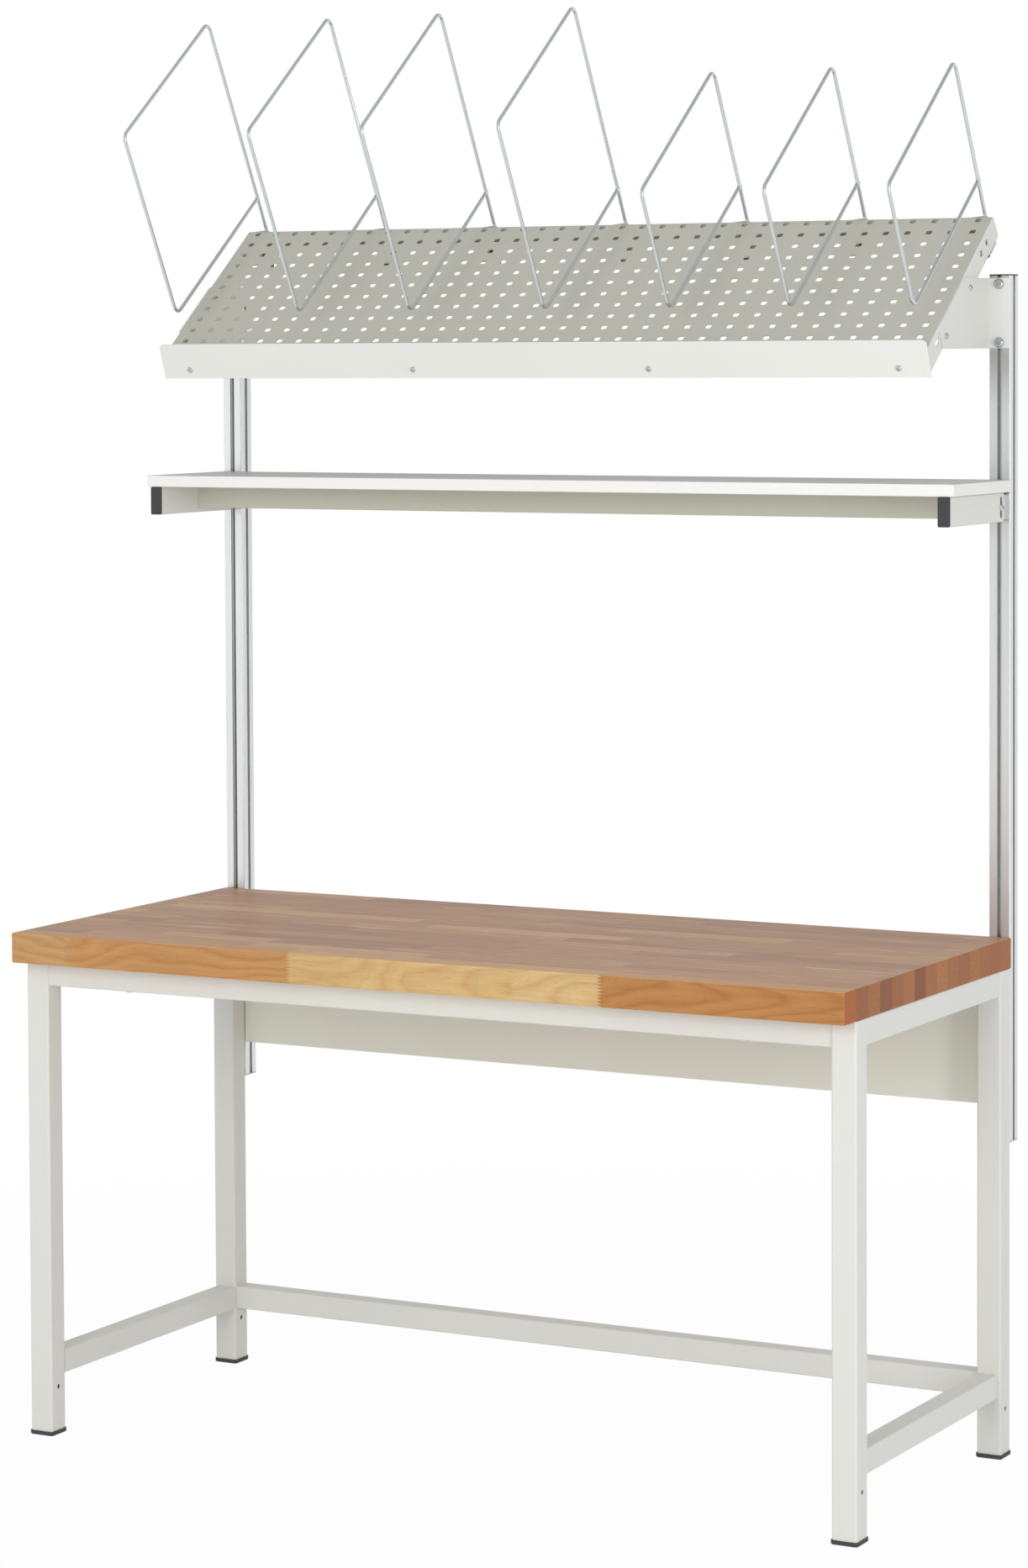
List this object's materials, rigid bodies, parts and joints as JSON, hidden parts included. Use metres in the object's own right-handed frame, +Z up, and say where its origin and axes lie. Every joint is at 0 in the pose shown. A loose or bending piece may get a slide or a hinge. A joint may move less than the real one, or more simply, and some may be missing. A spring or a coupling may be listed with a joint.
{
  "type": "packing table",
  "caption": "Packing table: wooden top on a steel bench, slotted rear posts with a height-adjustable shelf and a tilted perforated carton tray with sliding wire dividers.",
  "frame": {"origin": "on the floor, at the middle of the table's width and depth", "axes": "+X to the table's right, +Y to its rear, +Z up"},
  "size_m": [1.504, 0.7492, 2.3792],
  "materials": {
    "wood": "block-glued hardwood, oiled, satin",
    "frame_paint": "light grey powder coat",
    "lip_paint": "white-grey powder coat",
    "board": "light grey laminate",
    "aluminium": "natural anodised extrusion",
    "zinc": "zinc plated",
    "wire": "bright zinc plated wire",
    "black_plastic": "black, fine grain"
  },
  "bodies": {
    "bench": {"table_top": "wood", "table_top_screws": "zinc", "rear_panel": "frame_paint", "rear_panel_screws": "zinc", "post_caps": "black_plastic", "post_spacers": "frame_paint", "post_bolts": "zinc", "post_nuts": "zinc", "front_top_rail": "frame_paint", "rear_top_rail": "frame_paint", "rear_lower_rail": "frame_paint", "left_front_leg": "frame_paint", "left_rear_leg": "frame_paint", "left_front_foot": "black_plastic", "left_rear_foot": "black_plastic", "left_top_rail": "frame_paint", "left_lower_rail": "frame_paint", "left_post": "aluminium", "right_front_leg": "frame_paint", "right_rear_leg": "frame_paint", "right_front_foot": "black_plastic", "right_rear_foot": "black_plastic", "right_top_rail": "frame_paint", "right_lower_rail": "frame_paint", "right_post": "aluminium"},
    "shelf": {"shelf_board": "board", "shelf_beam": "frame_paint", "board_screws": "zinc", "arm_caps": "black_plastic", "arm_bolts": "zinc", "arm_nuts": "zinc", "arm_screws": "zinc", "left_shelf_arm": "frame_paint", "left_arm_bracket": "zinc", "right_shelf_arm": "frame_paint", "right_arm_bracket": "zinc"},
    "magazine": {"tray": "frame_paint", "front_lip": "lip_paint", "lip_screws": "zinc", "bracket_bolts": "zinc", "bracket_nuts": "zinc", "bracket_screws": "zinc", "left_tray_bracket": "frame_paint", "right_tray_bracket": "frame_paint"},
    "divider_1_body": {"divider_1": "wire", "divider_1_knob": "black_plastic"},
    "divider_2_body": {"divider_2": "wire", "divider_2_knob": "black_plastic"},
    "divider_3_body": {"divider_3": "wire", "divider_3_knob": "black_plastic"},
    "divider_4_body": {"divider_4": "wire", "divider_4_knob": "black_plastic"},
    "divider_5_body": {"divider_5": "wire", "divider_5_knob": "black_plastic"},
    "divider_6_body": {"divider_6": "wire", "divider_6_knob": "black_plastic"},
    "divider_7_body": {"divider_7": "wire", "divider_7_knob": "black_plastic"}
  },
  "joints": [
    {"name": "shelf_height", "type": "slide", "parent": "bench", "child": "shelf", "axis": [0, 0, 1], "range_m": [-0.6, 0.06]},
    {"name": "magazine_height", "type": "slide", "parent": "bench", "child": "magazine", "axis": [0, 0, 1], "range_m": [-0.06, 0]},
    {"name": "divider_1_slide", "type": "slide", "parent": "magazine", "child": "divider_1_body", "axis": [1, 0, 0], "range_m": [-0.004, 0.07]},
    {"name": "divider_2_slide", "type": "slide", "parent": "magazine", "child": "divider_2_body", "axis": [1, 0, 0], "range_m": [-0.07, 0.07]},
    {"name": "divider_3_slide", "type": "slide", "parent": "magazine", "child": "divider_3_body", "axis": [1, 0, 0], "range_m": [-0.07, 0.07]},
    {"name": "divider_4_slide", "type": "slide", "parent": "magazine", "child": "divider_4_body", "axis": [1, 0, 0], "range_m": [-0.07, 0.07]},
    {"name": "divider_5_slide", "type": "slide", "parent": "magazine", "child": "divider_5_body", "axis": [1, 0, 0], "range_m": [-0.07, 0.07]},
    {"name": "divider_6_slide", "type": "slide", "parent": "magazine", "child": "divider_6_body", "axis": [1, 0, 0], "range_m": [-0.07, 0.07]},
    {"name": "divider_7_slide", "type": "slide", "parent": "magazine", "child": "divider_7_body", "axis": [1, 0, 0], "range_m": [-0.07, 0.006]}
  ]
}
